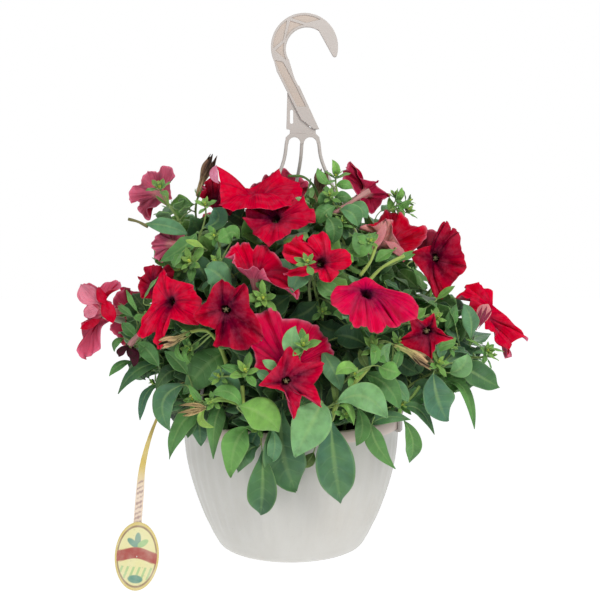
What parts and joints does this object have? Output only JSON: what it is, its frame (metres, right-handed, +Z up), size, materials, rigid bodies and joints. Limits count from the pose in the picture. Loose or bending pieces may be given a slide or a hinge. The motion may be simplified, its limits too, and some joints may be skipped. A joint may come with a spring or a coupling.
{
  "type": "petunia hanging basket",
  "caption": "Round plastic hanging basket with a one-piece hook hanger and a plant label, filled with a leafy petunia in red bloom",
  "frame": {"origin": "the hook's seat: the highest point inside the curve of the hook, where a bracket or rail carries the basket", "axes": "+Z up, along the pot's axis; -Y is the front of the basket; +X is to the right seen from the front"},
  "size_m": [0.5009, 0.4195, 0.631],
  "materials": {
    "pot_plastic": "off-white moulded plastic, satin, with shallow upright flutes",
    "hanger_plastic": "beige-white moulded plastic, satin",
    "compost": "moist peat and bark compost, crumbly and matt",
    "label_plastic": null,
    "petal": "soft red petal, dark in the throat, pink underneath",
    "foliage": "soft, finely hairy green leaves and stems",
    "dried_flower": "withered brown petal, papery"
  },
  "bodies": {
    "root": {"pot": "pot_plastic", "potting_soil": "compost", "hanger": "hanger_plastic", "plant_label": "label_plastic", "flower_left_pink": "petal", "flower_left_small": "petal", "flower_left_side": "petal", "flower_left_rear": "petal", "flower_left_front": "petal", "flower_front_left": "petal", "flower_crown_left": "petal", "flower_crown_top": "petal", "flower_crown_front": "petal", "flower_centre": "petal", "flower_centre_ruffled": "petal", "flower_front_right": "petal", "flower_right_star": "petal", "flower_front_star": "petal", "flower_front_low": "petal", "flower_right_dark": "petal", "flower_right_side": "petal", "flower_right_pale": "petal", "flower_crown_right": "petal", "flower_back_left": "petal", "flower_back_middle": "petal", "flower_back_right": "petal", "flower_back_top": "petal", "flower_back_low_left": "petal", "flower_back_low_right": "petal", "flower_left_back": "petal", "spent_flower_crown_left": "dried_flower", "spent_flower_crown_right": "dried_flower", "spent_flower_left": "dried_flower", "spent_flower_right": "dried_flower", "shoot_left_high": "foliage", "shoot_left_side": "foliage", "shoot_left_front": "foliage", "shoot_front_left": "foliage", "shoot_crown_left": "foliage", "shoot_crown": "foliage", "shoot_centre": "foliage", "shoot_centre_right": "foliage", "shoot_right_star": "foliage", "shoot_front_star": "foliage", "shoot_right_dark": "foliage", "shoot_right_side": "foliage", "shoot_right_pale": "foliage", "shoot_crown_right": "foliage", "shoot_back_left": "foliage", "shoot_back_middle": "foliage", "shoot_back_right": "foliage", "shoot_back_top": "foliage", "shoot_left_back": "foliage", "spray_left": "foliage", "spray_front_left": "foliage", "spray_front": "foliage", "spray_front_right": "foliage", "spray_right_front": "foliage", "spray_right": "foliage", "spray_back": "foliage"}
  },
  "joints": []
}
